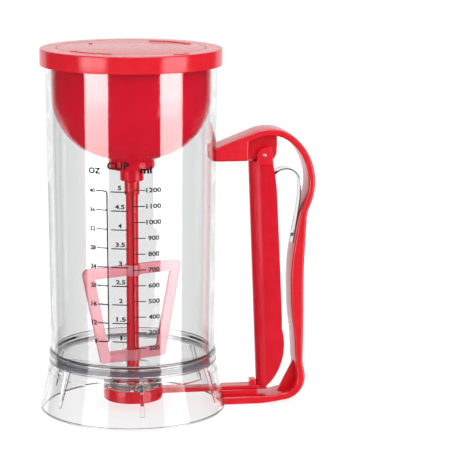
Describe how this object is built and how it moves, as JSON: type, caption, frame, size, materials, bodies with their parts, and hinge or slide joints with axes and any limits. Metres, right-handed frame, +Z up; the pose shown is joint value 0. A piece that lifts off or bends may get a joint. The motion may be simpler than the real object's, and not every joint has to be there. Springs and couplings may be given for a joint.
{
  "type": "pancake batter dispenser",
  "caption": "Clear graduated jar with a motor lid, mixing shaft and paddle, a flared base, and a trigger handle that slides a gate under the outlet.",
  "frame": {"origin": "centre of the skirt's foot, on the table", "axes": "+Z up the jar's axis, +X from the jar towards the handle, +Y to the left when looking along +X"},
  "size_m": [0.1901, 0.1288, 0.2504],
  "materials": {
    "clear_plastic": "clear, polished",
    "clear_base": "clear, polished",
    "red_plastic": "gloss",
    "paddle_plastic": "translucent gloss",
    "silicone": "satin",
    "seal_rubber": "matt",
    "steel": "satin",
    "spring_steel": "bright",
    "white_plastic": "matt",
    "cell_jacket": "printed sleeve",
    "motor_can": "zinc plated",
    "brass": "satin",
    "wire_jacket": "matt"
  },
  "bodies": {
    "base": {"jar": "clear_plastic", "outlet_neck": "clear_plastic", "base_skirt": "clear_base", "valve_housing": "red_plastic", "valve_seal": "silicone", "valve_screws": "steel", "handle": "red_plastic", "handle_screws": "steel", "hinge_pin": "steel", "leaf_spring": "spring_steel", "spring_screw": "steel"},
    "head": {"lid_shell": "red_plastic", "lid_gasket": "silicone", "motor_housing": "red_plastic", "housing_screws": "steel", "gear_plate": "white_plastic", "plate_screws": "steel", "motor": "motor_can", "battery_tray": "white_plastic", "batteries": "cell_jacket", "tray_contacts": "spring_steel", "switch_contacts": "spring_steel", "motor_leads": "wire_jacket", "shaft_bush": "brass", "shaft_seal": "seal_rubber"},
    "cover": {"battery_cover": "red_plastic", "cover_seal": "seal_rubber", "cover_contacts": "spring_steel"},
    "mixer": {"output_shaft": "steel", "drive_gear": "white_plastic", "mixer_shaft": "red_plastic", "paddle": "paddle_plastic"},
    "rotor": {"motor_shaft": "steel", "motor_pinion": "brass"},
    "trigger": {"trigger": "red_plastic"},
    "slider": {"valve_slider": "red_plastic"}
  },
  "joints": [
    {"name": "head_lift", "type": "slide", "parent": "base", "child": "head", "axis": [0, 0, 1], "range_m": [0, 0.226]},
    {"name": "cover_twist", "type": "hinge", "parent": "head", "child": "cover", "pos_m": [0, 0, 0.247], "axis": [0, 0, -1], "range_deg": [-30, 30]},
    {"name": "mixer_spin", "type": "hinge", "parent": "head", "child": "mixer", "pos_m": [0, 0, 0.16], "axis": [0, 0, 1], "continuous": true},
    {"name": "rotor_spin", "type": "hinge", "parent": "head", "child": "rotor", "pos_m": [-0.0144, 0, 0.18], "axis": [0, 0, 1], "continuous": true},
    {"name": "trigger_pull", "type": "hinge", "parent": "base", "child": "trigger", "pos_m": [0.0904, 0, 0.176], "axis": [0, -1, 0], "range_deg": [0, 3], "stiffness_Nm_per_rad": 6, "springref_deg": -5.73, "deforming": ["leaf_spring"]},
    {"name": "valve_slide", "type": "slide", "parent": "base", "child": "slider", "axis": [1, 0, 0], "range_m": [0, 0.0087]}
  ],
  "couplings": [
    {"joint": "rotor_spin", "follows": "mixer_spin", "ratio": -3},
    {"joint": "valve_slide", "follows": "trigger_pull", "m_per_rad": 0.1654}
  ]
}
